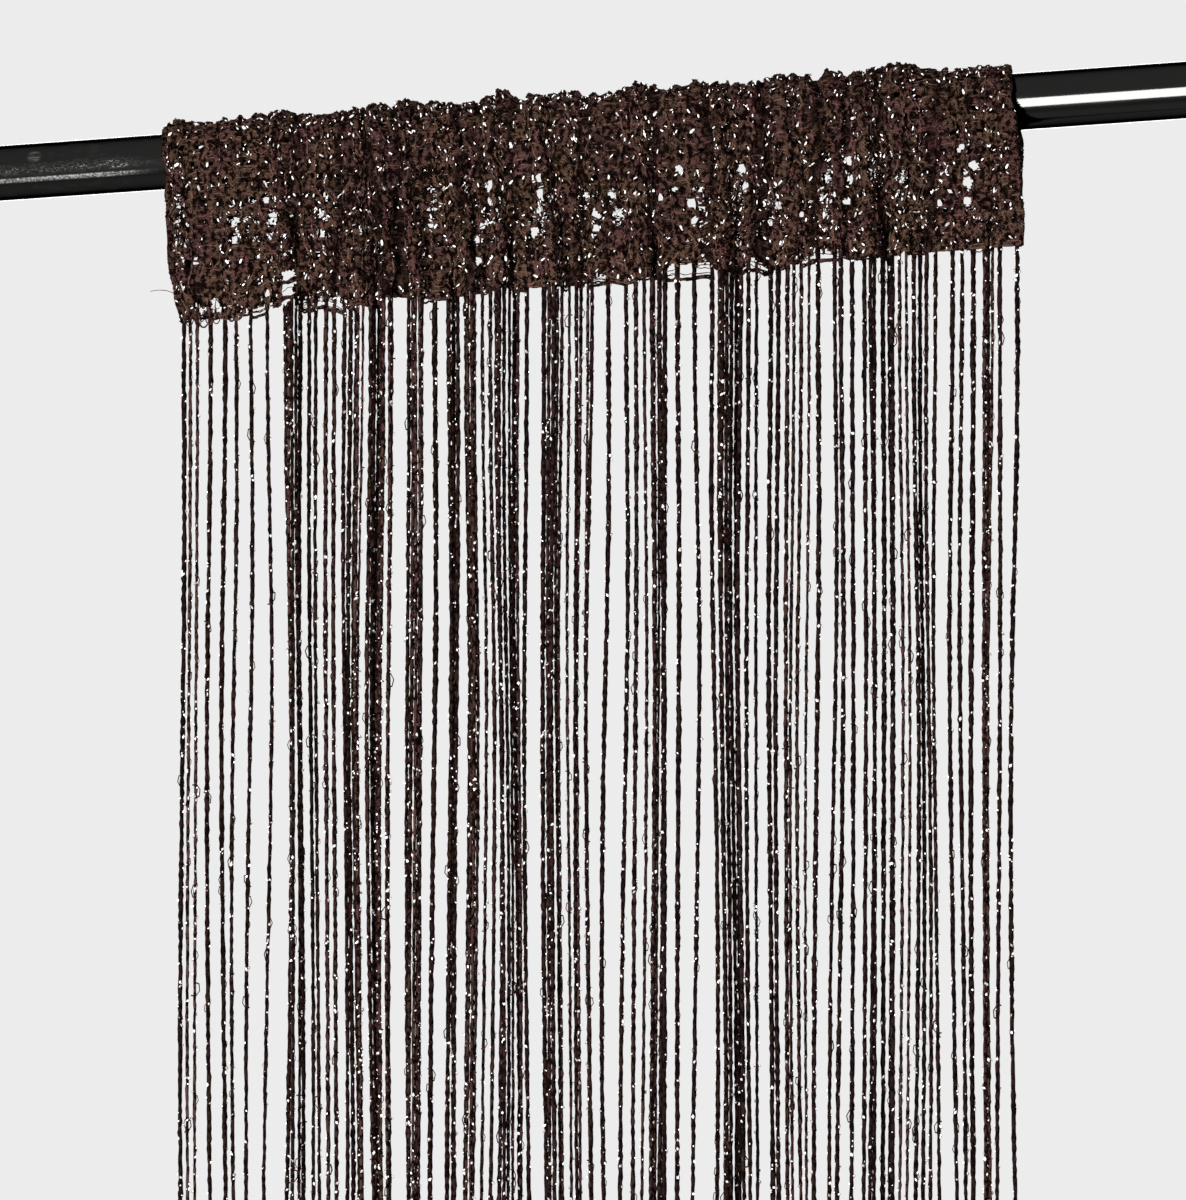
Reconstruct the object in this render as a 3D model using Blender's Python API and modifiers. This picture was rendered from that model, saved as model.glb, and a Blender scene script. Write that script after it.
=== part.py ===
"""A string curtain gathered on a rod.

The curtain is one knitted heading, a flat tube of cloth that the rod runs through, and the fringe of
long strings that hangs from its lower edge. The heading is gathered into uneven folds.

Frame: X runs along the rod, the front of the curtain faces -Y, and Z is up. The origin is on the
rod's axis, at the middle of its length.
"""

import math
import random
from collections import namedtuple

import bmesh
import bpy
from mathutils import Vector

MM = 0.001

# Rod
ROD_RADIUS = 12.5 * MM
ROD_LENGTH = 700 * MM
ROD_SIDES = 48
ROD_EDGE = 0.8 * MM

# Heading
CLOTH = 1.6 * MM  # thickness of the knitted cloth
LEFT, RIGHT = -190.5 * MM, 204 * MM  # the lower edge's two ends
EDGE_LEFT, EDGE_RIGHT = -72.5 * MM, -64.5 * MM  # height of the lower edge at its two ends
SEAT = 0.4 * MM  # room between the rod and the cloth that rests on it
FOLD_FOOT = 2.3 * MM  # half width of a fold where it leaves the cloth's line
FOLD_SIDE, FOLD_RISE = 1.4 * MM, 0.72  # half width further out, and the share of the depth there
FOLD_APART = 0.5 * MM  # folds whose feet are nearer than this share one foot
WAVES = ((1.9 * MM, 71 * MM), (1.0 * MM, 29 * MM))  # size and width of the cloth's own waves
WANDER = ((1.6 * MM, 53 * MM), (0.8 * MM, 21 * MM))  # how far the folds lean sideways on their way up
WANDER_BACK = 18 * MM  # how far along the folds at the back lean as those at the front do
SHALLOW = 3 * MM  # a fold less deep than this is a single bend
POCKET_OVERRUN = 30 * MM  # how far the pocket's cutter passes the cloth's ends

# The folds, from left to right: where each stands along the lower edge, how far its tip lies from the
# cloth's line, and how far the tip leans sideways, all in mm. A minus depth stands out to the front.
Fold = namedtuple("Fold", "x depth lean")
FOLDS = (
    Fold(-184, -5, 1.5),
    Fold(-172, 1.5, 0),
    Fold(-160, -1.5, 0),
    Fold(-148, 1.5, 0),
    Fold(-137, -10, 3.5),
    Fold(-128, 5, -1.5),
    Fold(-119, -3.5, 0),
    Fold(-111.5, 4, -1),
    Fold(-104, -8, 2.5),
    Fold(-95.5, 10, -3),
    Fold(-91, -9, 3),
    Fold(-77, -11, 4),
    Fold(-61, 7, -2),
    Fold(-53, -10, 3.5),
    Fold(-45, 3, 0),
    Fold(-37.5, -8, 2.5),
    Fold(-31.5, 7, -2),
    Fold(-22, -1.5, 0),
    Fold(-12, -8, 2.5),
    Fold(-6.5, 6, -2),
    Fold(1, 7, -2),
    Fold(14, -1.5, 0),
    Fold(27, -4, 1),
    Fold(35, 11, -4),
    Fold(45, -1.5, 0),
    Fold(56, 1.5, 0),
    Fold(67, -9, 3),
    Fold(73, 6, -2),
    Fold(79.5, -4, 1),
    Fold(89, 3, 0),
    Fold(98, -5, 1.5),
    Fold(105, 4, -1),
    Fold(112, -2, 0),
    Fold(121, -4, 1),
    Fold(135, -6, 2),
    Fold(142.5, 7, -2),
    Fold(149.5, -6, 2),
    Fold(159, 6, -2),
    Fold(168, -1.5, 0),
    Fold(176, -3, 1),
    Fold(190.5, 8, -2.5),
    Fold(200, -1.5, 0),
)

# One side of the heading's section, from its lower edge up to near the rod's top. A row is placed by
# its height above the lower edge ("hem"), its height above the rod's axis ("height") or its angle
# above the horizontal ("angle"). reach is how far the cloth's face stands from the middle, or from
# the axis; swell and dent are the shares of the folds' depth that show there outwards and inwards;
# flare is how much wider the heading is there, lean is the share of the folds' sideways wander, and
# front and back are how far it is shifted along the rod on the two sides. Lengths are in mm and
# angles in degrees.
Row = namedtuple("Row", "by at reach swell dent flare lean front back")
ROWS = (
    Row("hem", 0, 0.8, 1.0, 1.0, 0, 0, 0, 0),
    Row("hem", 9, 0.8, 1.0, 1.0, 0.002, 0, 0, 0),
    Row("height", -44, 4.0, 0.92, 0.06, 0.007, 0.4, 0.3, -0.5),
    Row("height", -29, 9.6, 0.80, 0.06, 0.012, 0.8, 0.7, -3.5),
    Row("height", -14, 14.6, 0.62, 0.05, 0.018, 1.0, 1, -6),
    Row("angle", 16, 15.4, 0.50, 0.04, 0.016, 0.8, -1, -8),
    Row("angle", 53, 15.2, 0.34, 0.02, 0.008, 0.4, -4.5, -8),
)
TOP = Row("angle", 90, 0, 0.10, 0, 0, 0.2, -7, -7)

# How far the lower edge rises over a straight line at places along the rod, in mm
Hem = namedtuple("Hem", "x rise")
HEM = (
    Hem(-190, -1.5),
    Hem(-172, -0.5),
    Hem(-157, -1.2),
    Hem(-145, 1.5),
    Hem(-123, 2.4),
    Hem(-108, -1.8),
    Hem(-99, -1.8),
    Hem(-87, 1.2),
    Hem(-70, -1.2),
    Hem(-51, 0.8),
    Hem(-6, -0.3),
    Hem(8, 2.0),
    Hem(22, -1.5),
    Hem(38, 3.0),
    Hem(59, 3.0),
    Hem(70, -0.8),
    Hem(81, 3.0),
    Hem(92, -0.8),
    Hem(108, 3.0),
    Hem(120, 3.0),
    Hem(131, -0.5),
    Hem(150, 1.2),
    Hem(204, 0.0),
)

# How far the heading's top stands from the rod's axis at places along the rod, in mm
Crest = namedtuple("Crest", "x reach")
CREST = (
    Crest(-198, 14.9),
    Crest(-190, 17.2),
    Crest(-176, 14.8),
    Crest(-140, 17.6),
    Crest(-126, 14.9),
    Crest(-82, 18.2),
    Crest(-57, 15.6),
    Crest(-44, 16.4),
    Crest(-37, 20.4),
    Crest(-29, 15.2),
    Crest(-8, 17.4),
    Crest(14, 15.4),
    Crest(29, 18.4),
    Crest(41, 14.7),
    Crest(52, 18.0),
    Crest(74, 14.9),
    Crest(95, 18.4),
    Crest(111, 15.8),
    Crest(117, 18.6),
    Crest(125, 15.4),
    Crest(145, 19.6),
    Crest(174, 15.0),
    Crest(192, 14.9),
    Crest(201, 17.2),
)

# The pocket inside the heading: the height and half width of its section, in mm, under the rod.
POCKET_LOW = ((-46.5, 0), (-44, 2.2), (-29, 7.8), (-14, 12.9))
POCKET_STEPS = 8  # sides of the round part over the rod

# A ladder in the knit, where stitches have come loose at the lower edge
LADDER_X = -138 * MM
LADDER_WIDTH, LADDER_HEIGHT, LADDER_DEPTH = 7.5 * MM, 15.5 * MM, 30 * MM

# Strings
STRINGS = 112
STRING_RADIUS = 1.08 * MM
STRING_ENDS = -1990 * MM  # height of the strings' lower ends
END_SPREAD = 3 * MM  # how unevenly they are cut
STRING_LEVELS = (-100, -170, -260, -420, -800, -1400)  # mm, where a string bends a little
BAND_GAP = 0.65 * MM  # room between the heading and the band that carries the strings
BAND_HEIGHT = 2.6 * MM
SLACK = 0.6  # how much closer the strings stand in the folds
STRING_MARGIN = 1.5 * MM  # how far the outer strings stand in from the cloth's ends
ROOT = 1.6 * MM  # how far a string reaches up into the band
# How strings side by side sway together: the size of each sway, and its width and height
SWAYS = ((1.5 * MM, 95 * MM, 900 * MM), (0.4 * MM, 34 * MM, 600 * MM))
SWAY_DEPTH = 0.6  # how much they sway to the front and back, as a share of sideways
DRAWN_IN = 0.028  # how much narrower the fringe is with each metre down
SLACK_FROM_TO = (-0.065, -0.27)  # heights in m between which the strings come to hang freely
STRAY, STRAY_SHARE = 1.7 * MM, 0.25  # how far a string strays, and the share of its room that it takes
STRAY_WAVES = (700 * MM, 900 * MM)  # the height of its strays, sideways and to the front and back


def clear_scene():
    for old in list(bpy.data.objects):
        bpy.data.objects.remove(old, do_unlink=True)


def collection(name):
    made = bpy.data.collections.new(name)
    bpy.context.scene.collection.children.link(made)
    return made


def material(name, colour, roughness, metallic=0.0):
    made = bpy.data.materials.new(name)
    made.use_nodes = True
    shader = made.node_tree.nodes["Principled BSDF"]
    shader.inputs["Base Color"].default_value = (*colour, 1)
    shader.inputs["Roughness"].default_value = roughness
    shader.inputs["Metallic"].default_value = metallic
    return made


def smooth(low, high, value):
    share = min(max((value - low) / (high - low), 0), 1)
    return share * share * (3 - 2 * share)


def waves(table, x):
    """The sum of a table's waves at x."""
    return sum(size * math.sin(2 * math.pi * x / width + i) for i, (size, width) in enumerate(table))


def plan_of_folds():
    """The heading's lower edge seen from above, as a line of points: softly waved, with its folds.
    The second list says how far each point is shifted sideways by the lean of its fold."""
    places = [(LEFT, 0, 0)]
    for fold in FOLDS:
        x, depth, lean = fold.x * MM, fold.depth * MM, fold.lean * MM
        if abs(depth) < SHALLOW:
            places.append((x, depth, lean))
            continue
        if x - FOLD_FOOT > places[-1][0] + FOLD_APART:
            places.append((x - FOLD_FOOT, 0, 0))
        places.append((x - FOLD_SIDE, depth * FOLD_RISE, lean * FOLD_RISE))
        places.append((x, depth, lean))
        places.append((x + FOLD_SIDE, depth * FOLD_RISE, lean * FOLD_RISE))
        places.append((x + FOLD_FOOT, 0, 0))
    places.append((RIGHT, 0, 0))
    line = [Vector((x + lean, y + waves(WAVES, x))) for x, y, lean in places]
    return line, [lean for _, _, lean in places]


def set_off(line, distance):
    """The line moved sideways by distance, to the front where it is positive, with mitred corners."""
    moved = []
    for i, point in enumerate(line):
        before = line[i] - line[max(i - 1, 0)]
        after = line[min(i + 1, len(line) - 1)] - line[i]
        sides = [Vector((d.y, -d.x)).normalized() for d in (before, after) if d.length > 0]
        across = (sides[0] + sides[-1]).normalized()
        moved.append(point + across * distance / max(across.dot(sides[0]), 0.5))
    return moved


def looked_up(table, x):
    """The second column of a table at x, smooth between its rows. The table is in mm, x is in m."""
    for (low, first), (high, second) in zip(table, table[1:]):
        if x <= high * MM or (high, second) == table[-1]:
            return (first + (second - first) * smooth(low * MM, high * MM, x)) * MM


def edge_height(x):
    share = (x - LEFT) / (RIGHT - LEFT)
    return EDGE_LEFT + (EDGE_RIGHT - EDGE_LEFT) * share + looked_up(HEM, x)


def loft(name, sections):
    """A closed mesh through a row of sections, each a ring of as many points, with both ends capped."""
    bm = bmesh.new()
    rings = [[bm.verts.new(point) for point in section] for section in sections]
    count = len(rings[0])
    for ring, following in zip(rings, rings[1:]):
        for i in range(count):
            j = (i + 1) % count
            bm.faces.new((ring[i], ring[j], following[j], following[i]))
    bm.faces.new(rings[0])
    bm.faces.new(rings[-1])
    bmesh.ops.recalc_face_normals(bm, faces=bm.faces)
    mesh = bpy.data.meshes.new(name)
    bm.to_mesh(mesh)
    bm.free()
    return mesh


def place(name, mesh, into, look):
    made = bpy.data.objects.new(name, mesh)
    into.objects.link(made)
    made.data.materials.append(look)
    return made


def adopt(name, into):
    """The primitive that was just added, named and moved into a collection."""
    made = bpy.context.object
    made.name = made.data.name = name
    for owner in made.users_collection:
        owner.objects.unlink(made)
    into.objects.link(made)
    return made


def as_cutter(made):
    made.hide_render = True
    made.display_type = "WIRE"
    return made


def cutter(name, mesh, into):
    made = bpy.data.objects.new(name, mesh)
    into.objects.link(made)
    return as_cutter(made)


def combine(target, operand, operation):
    step = target.modifiers.new(operand.name, "BOOLEAN")
    step.object = operand
    step.operation = operation
    step.solver = "EXACT"


def add_rod(into, look):
    bpy.ops.mesh.primitive_cylinder_add(
        vertices=ROD_SIDES, radius=ROD_RADIUS, depth=ROD_LENGTH, rotation=(0, math.pi / 2, 0)
    )
    rod = adopt("rod", into)
    rod.data.materials.append(look)
    edge = rod.modifiers.new("edge", "BEVEL")
    edge.width = ROD_EDGE
    edge.segments = 1
    edge.limit_method = "ANGLE"
    rod.data.shade_smooth()
    rod.data.set_sharp_from_angle(angle=math.radians(40))


def placed(row, side, x, lean_of_fold, outward, edge):
    """The point where a row's face passes: side is -1 on the front and 1 on the back. Where less of a
    fold's depth shows, less of its lean does."""
    shown = row.swell if outward > 0 else row.dent
    x -= lean_of_fold * (1 - shown)
    shift = row.front if side < 0 else row.back
    middle = (LEFT + RIGHT) / 2
    lean = row.lean * waves(WANDER, x if side < 0 else x + WANDER_BACK)
    x = middle + (x - middle) * (1 + row.flare) + shift * MM + lean
    reach = row.reach * MM + outward * shown
    if row.by == "hem":
        return Vector((x, side * reach, edge + row.at * MM))
    if row.by == "height":
        return Vector((x, side * reach, row.at * MM))
    if row is TOP:
        return Vector((x, 0, looked_up(CREST, x) + reach))
    angle = math.radians(row.at)
    return Vector((x, side * reach * math.cos(angle), reach * math.sin(angle)))


def heading_sections(line, leans):
    """The rings around the heading's section, one for each point of the line."""
    front, back = set_off(line, CLOTH / 2), set_off(line, -CLOTH / 2)
    sections = []
    for f, b, lean in zip(front, back, leans):
        out_front, out_back = -f.y - CLOTH / 2, b.y - CLOTH / 2
        edge = edge_height((f.x + b.x) / 2)
        up = [placed(row, -1, f.x, lean, out_front, edge) for row in ROWS]
        top = placed(TOP, -1, (f.x + b.x) / 2, lean, max(out_front, 0) + max(out_back, 0), edge)
        down = [placed(row, 1, b.x, lean, out_back, edge) for row in reversed(ROWS)]
        sections.append([*up, top, *down])
    return sections


def pocket_section(x):
    """The ring around the inside of the pocket, close over the rod and pointed below it."""
    step = math.pi / POCKET_STEPS
    reach = (ROD_RADIUS + SEAT) / math.cos(step / 2)
    over = [(reach * math.sin(i * step), -reach * math.cos(i * step)) for i in range(POCKET_STEPS + 1)]
    front = [(z * MM, -half * MM) for z, half in POCKET_LOW]
    back = [(z * MM, half * MM) for z, half in reversed(POCKET_LOW[1:])]
    return [Vector((x, y, z)) for z, y in [*front, *over, *back]]


def add_heading(into, cutters, look, line, leans):
    heading = place("heading", loft("heading", heading_sections(line, leans)), into, look)
    heading.data.shade_smooth()
    heading.data.set_sharp_from_angle(angle=math.radians(50))
    ends = (LEFT - POCKET_OVERRUN, RIGHT + POCKET_OVERRUN)
    pocket = cutter("pocket", loft("pocket", [pocket_section(x) for x in ends]), cutters)
    combine(heading, pocket, "DIFFERENCE")
    bpy.ops.mesh.primitive_cube_add(size=1)
    ladder = as_cutter(adopt("ladder", cutters))
    ladder.dimensions = (LADDER_WIDTH, LADDER_DEPTH, 2 * LADDER_HEIGHT)
    ladder.location = (LADDER_X, 0, edge_height(LADDER_X))
    combine(heading, ladder, "DIFFERENCE")


def string_roots(line):
    """Where the strings hang from: evenly along the knit, which is stretched where the line runs
    along the rod and slack in the folds, so the strings stand closer there."""
    lengths = [(b - a).length + SLACK * abs(b.y - a.y) for a, b in zip(line, line[1:])]
    step = (sum(lengths) - 2 * STRING_MARGIN) / (STRINGS - 1)
    roots, start, i = [], 0.0, 0
    for k in range(STRINGS):
        at = STRING_MARGIN + k * step
        while start + lengths[i] < at:
            start += lengths[i]
            i += 1
        roots.append(line[i].lerp(line[i + 1], (at - start) / lengths[i]))
    return roots


def swayed(root, z, room, turns):
    """Where a string that starts at root passes the height z: strings side by side sway together,
    and each one strays a little by itself in the room that it has beside its neighbours."""
    loose = smooth(*SLACK_FROM_TO, z)
    middle = (LEFT + RIGHT) / 2
    x = middle + (root.x - middle) * (1 + DRAWN_IN * (z - EDGE_RIGHT))
    y = root.y
    for size, width, height in SWAYS:
        turn = 2 * math.pi * (root.x / width + z / height)
        x += loose * size * math.sin(turn)
        y += loose * size * SWAY_DEPTH * math.cos(turn)
    stray = loose * min(STRAY, STRAY_SHARE * room)
    across, through = (math.sin(2 * math.pi * (z / h + t)) for h, t in zip(STRAY_WAVES, turns))
    return Vector((x + stray * across, y + stray * through, z))


def string_sections(root, room, rng):
    edge = edge_height(root.x) - BAND_GAP - BAND_HEIGHT
    turns = (rng.random(), rng.random())
    end = STRING_ENDS + rng.uniform(-END_SPREAD, END_SPREAD)
    turned = rng.uniform(0, 2 * math.pi)
    corners = [
        Vector((math.cos(turned + i * 2 * math.pi / 3), math.sin(turned + i * 2 * math.pi / 3), 0))
        for i in range(3)
    ]
    levels = [edge + ROOT, edge - ROOT, *(level * MM for level in STRING_LEVELS), end]
    middles = [swayed(root, z, room, turns) for z in levels]
    middles[0].xy = middles[1].xy = root
    return [[middle + corner * STRING_RADIUS for corner in corners] for middle in middles]


def add_strings(into, cutters, look, line):
    """The fringe: a narrow band along the heading's lower edge and the strings fused to it."""
    front, back = set_off(line, CLOTH / 2), set_off(line, -CLOTH / 2)
    sections = []
    for f, b in zip(front, back):
        top = edge_height((f.x + b.x) / 2) - BAND_GAP
        low = top - BAND_HEIGHT
        sections.append([Vector((*p, z)) for p, z in ((f, low), (f, top), (b, top), (b, low))])
    band = place("strings", loft("strings", sections), into, look)
    rng = random.Random(11)
    bm = bmesh.new()
    roots = string_roots(line)
    for root in roots:
        nearest = min((root - other).length for other in roots if other is not root)
        strand = loft("strand", string_sections(root, nearest - 2 * STRING_RADIUS, rng))
        bm.from_mesh(strand)
        bpy.data.meshes.remove(strand)
    strands = bpy.data.meshes.new("strands")
    bm.to_mesh(strands)
    bm.free()
    combine(band, cutter("strands", strands, cutters), "UNION")


clear_scene()
model = collection("string curtain")
helpers = collection("cutters")
black = material("black rod", (0.012, 0.012, 0.013), 0.22)
brown = material("brown knit", (0.052, 0.020, 0.015), 0.8)
fringe = material("brown string", (0.045, 0.018, 0.014), 0.75)
plan, fold_leans = plan_of_folds()
add_rod(model, black)
add_heading(model, helpers, brown, plan, fold_leans)
add_strings(model, helpers, fringe, plan)
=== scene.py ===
"""The looks of a string curtain gathered on a rod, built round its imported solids.

X runs along the rod, the front of the curtain faces -Y and Z is up. Lengths are in metres.
"""

import math
import random
from collections import namedtuple

import bpy
import numpy as np
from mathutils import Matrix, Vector


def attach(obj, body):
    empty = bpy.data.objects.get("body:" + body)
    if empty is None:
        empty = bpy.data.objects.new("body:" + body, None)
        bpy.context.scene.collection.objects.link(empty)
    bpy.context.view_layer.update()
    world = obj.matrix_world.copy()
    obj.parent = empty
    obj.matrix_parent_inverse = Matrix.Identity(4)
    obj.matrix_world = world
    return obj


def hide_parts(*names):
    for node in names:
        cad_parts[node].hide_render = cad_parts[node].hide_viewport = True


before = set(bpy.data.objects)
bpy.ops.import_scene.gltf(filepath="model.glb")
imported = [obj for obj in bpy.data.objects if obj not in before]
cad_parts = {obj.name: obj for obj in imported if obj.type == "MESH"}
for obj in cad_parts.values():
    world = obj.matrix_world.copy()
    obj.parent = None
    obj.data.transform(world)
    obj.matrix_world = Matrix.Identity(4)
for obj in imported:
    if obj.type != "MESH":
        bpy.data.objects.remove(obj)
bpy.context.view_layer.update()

MM = 0.001
scene = bpy.context.scene

# --- Room ---------------------------------------------------------------------------------------
# A plain pale room with even light from all round, a lamp in front on the left that draws the bright
# line along the rod, and a pale floor just under the strings' ends.

# The view comes from the right of the front and from below
TURN, RISE = math.radians(19.7165), math.radians(9.0826)
TARGET = Vector((0.0058, 0, -0.2102))
DISTANCE = 5.2862
LENS, SENSOR = 360, 36  # mm
NEAREST, FARTHEST = 0.1, 60
ROOM_GREY = 0.84
STONE_GREY = 0.42
FLOOR = -2.03
FLOOR_REACH = 2.2  # from the middle to each side
# Name, place, the point that it faces, width, height and power in watts
LAMPS = (
    ("front lamp", (-0.42, -1.79, -0.56), (0.25, 0, 0), 0.5, 1.1, 85),
    ("high lamp", (1.2, -2.6, 1.6), (0, 0, -0.2), 1.2, 1.2, 40),
    ("back lamp", (-0.9, 2.7, 0.5), (0, 0, -0.4), 1.2, 1.2, 45),
)

sight = Vector(
    (-math.sin(TURN) * math.cos(RISE), math.cos(TURN) * math.cos(RISE), math.sin(RISE))
)
camera = bpy.data.objects.new("camera", bpy.data.cameras.new("camera"))
scene.collection.objects.link(camera)
camera.location = TARGET - sight * DISTANCE
camera.rotation_mode = "QUATERNION"
camera.rotation_quaternion = sight.to_track_quat("-Z", "Y")
camera.data.lens = LENS
camera.data.sensor_width = SENSOR
camera.data.clip_start, camera.data.clip_end = NEAREST, FARTHEST
scene.camera = camera

room = bpy.data.worlds.new("room")
room.use_nodes = True
light_all_round = room.node_tree.nodes["Background"].inputs
light_all_round["Color"].default_value = (ROOM_GREY, ROOM_GREY, ROOM_GREY, 1)
light_all_round["Strength"].default_value = 1.0
scene.world = room
scene.view_settings.view_transform = "Standard"

for name, place, faced, width, height, power in LAMPS:
    light = bpy.data.lights.new(name, "AREA")
    light.shape = "RECTANGLE"
    light.size, light.size_y, light.energy = width, height, power
    lamp = bpy.data.objects.new(name, light)
    lamp.location = place
    lamp.rotation_mode = "QUATERNION"
    lamp.rotation_quaternion = (Vector(faced) - Vector(place)).to_track_quat("-Z", "Y")
    scene.collection.objects.link(lamp)


def mesh_object(name, points, faces=(), edges=()):
    """A new object in the scene, made from points and faces or edges."""
    mesh = bpy.data.meshes.new(name)
    mesh.from_pydata([tuple(map(float, p)) for p in points], edges, faces)
    made = bpy.data.objects.new(name, mesh)
    scene.collection.objects.link(made)
    return made


floor = mesh_object(
    "floor",
    [(x * FLOOR_REACH, y * FLOOR_REACH, FLOOR) for x, y in ((-1, -1), (1, -1), (1, 1), (-1, 1))],
    [(0, 1, 2, 3)],
)
stone = bpy.data.materials.new("pale_floor")
stone.use_nodes = True
stone_surface = stone.node_tree.nodes["Principled BSDF"].inputs
stone_surface["Base Color"].default_value = (STONE_GREY, STONE_GREY, STONE_GREY, 1)
stone_surface["Roughness"].default_value = 0.9
floor.data.materials.append(stone)


# --- Rod ----------------------------------------------------------------------------------------
# A steel tube, painted glossy black, with rolled rims and a shallow cap in each end. The paint is
# rubbed dull and grey in streaks towards its left end, where curtains are drawn over it. There grey
# lines are painted along it as well: a thin painted reflection under its middle, and a band just
# under the middle that is scuffs and painted highlight at once.

ROD_RADIUS, ROD_HALF = 12.5 * MM, 350 * MM
ROD_SIDES = 120
TUBE_RINGS = (0, 60 * MM, 120 * MM, 200 * MM, 280 * MM, 330 * MM)
# Each end's rolled rim and cap, in mm: back from the end, and inwards from the tube's face
ROD_END = (
    (1.6, 0), (0.6, 0.25), (0.1, 0.8), (0, 1.3), (0.2, 1.6),
    (1.8, 1.8), (2.1, 2.2), (2.1, 6.5), (2.1, 12.48),
)
# To the left of these the paint is rubbed, and grey lines of painted reflection lie on it
WORN_AND_SHEEN_FROM, WORN_AND_SHEEN_TO = -190 * MM, -225 * MM  # the paint is whole to the right of the first
MARK = (-257 * MM, -11.5 * MM, 4.0 * MM)  # a small rubbed spot beyond the scuffs
# Black paint, and a grey that is both rubbed paint and painted reflection
BLACK, RUBBED_AND_SHEEN_GREY = (0.021, 0.0215, 0.0205, 1), (0.16, 0.16, 0.155, 1)


class Part:
    """A socket in a node tree that takes part in plain arithmetic."""

    def __init__(self, nodes, socket):
        self.nodes, self.socket = nodes, socket

    def maths(self, operation, *values):
        """A Math node on values, which may be sockets or numbers."""
        inputs = dict(enumerate(values))
        return self.nodes.add("ShaderNodeMath", {"operation": operation}, inputs)

    def __add__(self, other):
        return self.maths("ADD", self, other)

    def __sub__(self, other):
        return self.maths("SUBTRACT", self, other)

    def __rsub__(self, other):
        return self.maths("SUBTRACT", other, self)

    def __mul__(self, other):
        return self.maths("MULTIPLY", self, other)

    __radd__, __rmul__ = __add__, __mul__

    def between(self, low, high):
        """0 below low and 1 above high, and smooth in between."""
        setting = {"interpolation_type": "SMOOTHSTEP"}
        return self.nodes.add("ShaderNodeMapRange", setting, {0: self, 1: low, 2: high})

    def other(self, name):
        """Another output of the same node."""
        return Part(self.nodes, self.socket.node.outputs[name])


class Nodes:
    """A node tree in the making."""

    def __init__(self, tree):
        self.tree = tree

    def add(self, kind, settings=None, inputs=None):
        """A node of a kind: its settings come first, then its sockets' values or links."""
        node = self.tree.nodes.new(kind)
        for name, value in (settings or {}).items():
            setattr(node, name, value)
        for name, value in (inputs or {}).items():
            self.set(node.inputs[name], value)
        return Part(self, next((s for s in node.outputs if s.enabled), None))

    def set(self, socket, value):
        """A socket's link or value."""
        if isinstance(value, Part):
            self.tree.links.new(value.socket, socket)
        else:
            socket.default_value = value

    def blend(self, share, first, second):
        """Two colours or vectors mixed."""
        setting = {"data_type": "RGBA"}
        return self.add("ShaderNodeMix", setting, {0: share, 6: first, 7: second})


class Finish(Nodes):
    """A material in the making."""

    def __init__(self, name):
        self.material = bpy.data.materials.new(name)
        self.material.use_nodes = True
        super().__init__(self.material.node_tree)
        self.shader = self.tree.nodes["Principled BSDF"]
        self.place = self.add("ShaderNodeTexCoord").other("Object")

    def noise(self, scale, stretch=(1, 1, 1), detail=2.0, roughness=0.5, offset=(0, 0, 0)):
        """Noise with scale waves to the metre, stretched along the axes."""
        mapped = self.add(
            "ShaderNodeMapping",
            {"vector_type": "POINT"},
            {"Vector": self.place, "Scale": stretch, "Location": offset},
        )
        inputs = {"Vector": mapped, "Scale": scale, "Detail": detail, "Roughness": roughness}
        return self.add("ShaderNodeTexNoise", None, inputs)

    def bump(self, height, depth):
        """The surface raised by height, at most depth metres."""
        inputs = {"Height": height, "Distance": depth, "Strength": 1.0}
        return self.add("ShaderNodeBump", None, inputs)

    def surface(self, **values):
        """The sockets of the shader, with spaces for underscores."""
        for name, value in values.items():
            self.set(self.shader.inputs[name.replace("_", " ")], value)
        return self.material


def turned(outline, sides):
    """The points and faces of a shape turned round the X axis, its two ends filled."""
    turns = [2 * math.pi * j / sides for j in range(sides)]
    points = [(x, r * math.cos(a), r * math.sin(a)) for x, r in outline for a in turns]
    faces = [
        (i + j, i + (j + 1) % sides, i + sides + (j + 1) % sides, i + sides + j)
        for i in range(0, len(points) - sides, sides)
        for j in range(sides)
    ]
    first, last = range(sides), range(len(points) - sides, len(points))
    return points, [*faces, tuple(reversed(first)), tuple(last)]


right_half = [(x, ROD_RADIUS) for x in TUBE_RINGS]
right_half += [(ROD_HALF - back * MM, ROD_RADIUS - inwards * MM) for back, inwards in ROD_END]
left_half = [(-x, radius) for x, radius in reversed(right_half[1:])]
rod = mesh_object("rod_tube", *turned(left_half + right_half, ROD_SIDES))
rod.data.polygons.foreach_set("use_smooth", [True] * len(rod.data.polygons))
rod.data.set_sharp_from_angle(angle=math.radians(50))

paint = Finish("black_lacquer")
along = paint.add("ShaderNodeSeparateXYZ", None, {0: paint.place})


def line_along_rod(height, none, full):
    """1 along a line on the rod at a height, from none to full of it over these distances."""
    off = along.other("Z") - height
    return off.maths("ABSOLUTE", off).between(none, full)


worn_and_sheen_end = along.between(WORN_AND_SHEEN_FROM, WORN_AND_SHEEN_TO)
streaks = paint.noise(420, (0.35, 1, 1), 5, 0.65).between(0.50, 0.66)
flecks = paint.noise(700, (0.12, 1, 1), 3, 0.6).between(0.42, 0.56)
grit = paint.noise(1300, (0.6, 1, 1), 3, 0.7).between(0.44, 0.62)
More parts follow.
